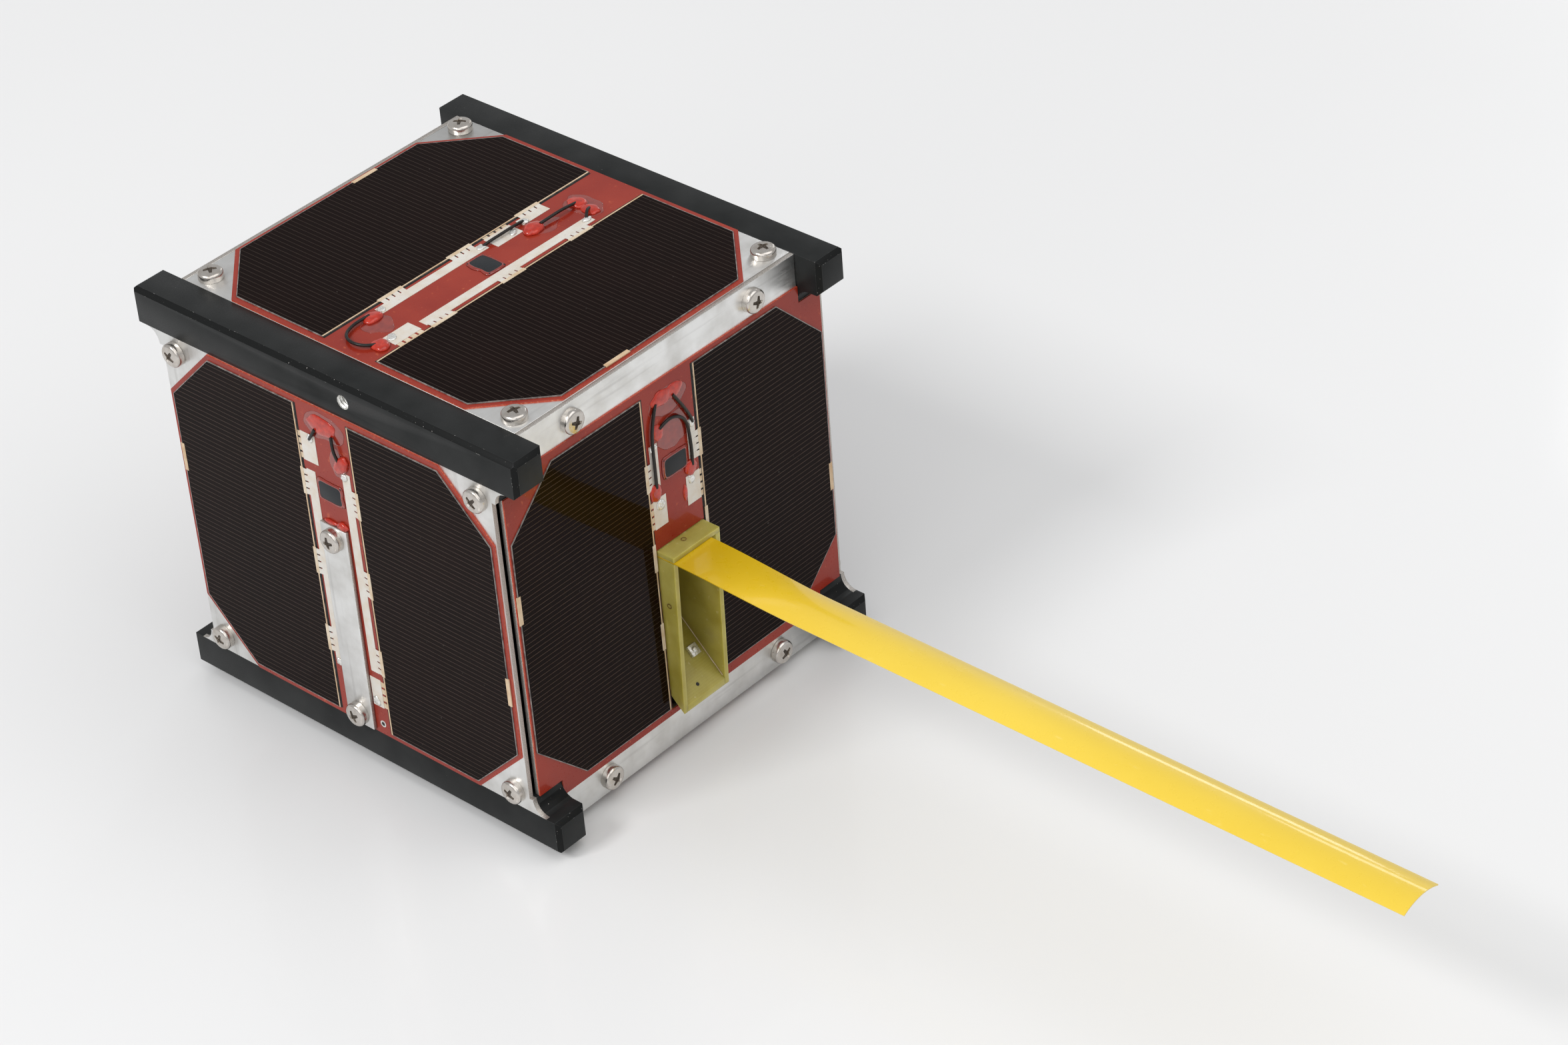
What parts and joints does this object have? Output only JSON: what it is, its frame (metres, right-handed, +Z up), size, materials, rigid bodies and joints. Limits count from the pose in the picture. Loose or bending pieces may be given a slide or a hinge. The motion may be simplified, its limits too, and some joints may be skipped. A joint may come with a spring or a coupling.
{
  "type": "one-unit cube satellite",
  "caption": "Cube-shaped small satellite with square guide rails, solar cells on every face and one deployed steel tape antenna that folds at its root.",
  "frame": {"origin": "middle of the whole length and width, at the level the satellite stands on", "axes": "+Z up as it lies on the bench, +X along the rails towards the antenna tip, -Y the face with the metal strap"},
  "size_m": [0.2938, 0.1019, 0.1029],
  "materials": {
    "black_rail": "black hard anodised, satin",
    "aluminium_plate": "bare rolled, satin",
    "aluminium_strap": "bare brushed",
    "red_board": "glossy red solder mask on glass epoxy",
    "solar_cell": "dark cell under clear cover glass",
    "sensor_window": "smooth dark grey",
    "electronics": "matt",
    "screw_steel": "polished stainless",
    "glass_epoxy": "translucent yellow-green laminate",
    "resistor_metal": "tinned, soldered",
    "yellow_tape": "glossy yellow paint on spring steel"
  },
  "bodies": {
    "bus": {"rail_top_left": "black_rail", "rail_top_right": "black_rail", "rail_bottom_left": "black_rail", "rail_bottom_right": "black_rail", "top_plate": "aluminium_plate", "bottom_plate": "aluminium_plate", "left_plate": "aluminium_plate", "right_plate": "aluminium_plate", "front_plate": "aluminium_plate", "rear_plate": "aluminium_plate", "top_board": "red_board", "bottom_board": "red_board", "left_board": "red_board", "right_board": "red_board", "front_board": "red_board", "rear_board": "red_board", "top_cells": "solar_cell", "bottom_cells": "solar_cell", "left_cells": "solar_cell", "right_cells": "solar_cell", "front_cells": "solar_cell", "rear_cells": "solar_cell", "sun_sensors": "sensor_window", "left_strap": "aluminium_strap", "electronics_stack": "electronics", "bottom_screws": "screw_steel", "housing_roof": "glass_epoxy", "housing_left_wall": "glass_epoxy", "housing_right_wall": "glass_epoxy", "housing_ramp": "glass_epoxy", "housing_back": "glass_epoxy", "burn_resistor": "resistor_metal", "antenna_root": "yellow_tape"},
    "antenna": {"antenna_tape": "yellow_tape"}
  },
  "joints": [
    {"name": "antenna_fold", "type": "hinge", "parent": "bus", "child": "antenna", "pos_m": [-0.02813, 0, 0.0524], "axis": [0, 1, 0], "range_deg": [0, 90], "stiffness_Nm_per_rad": 0.01, "springref_deg": -85.94}
  ]
}
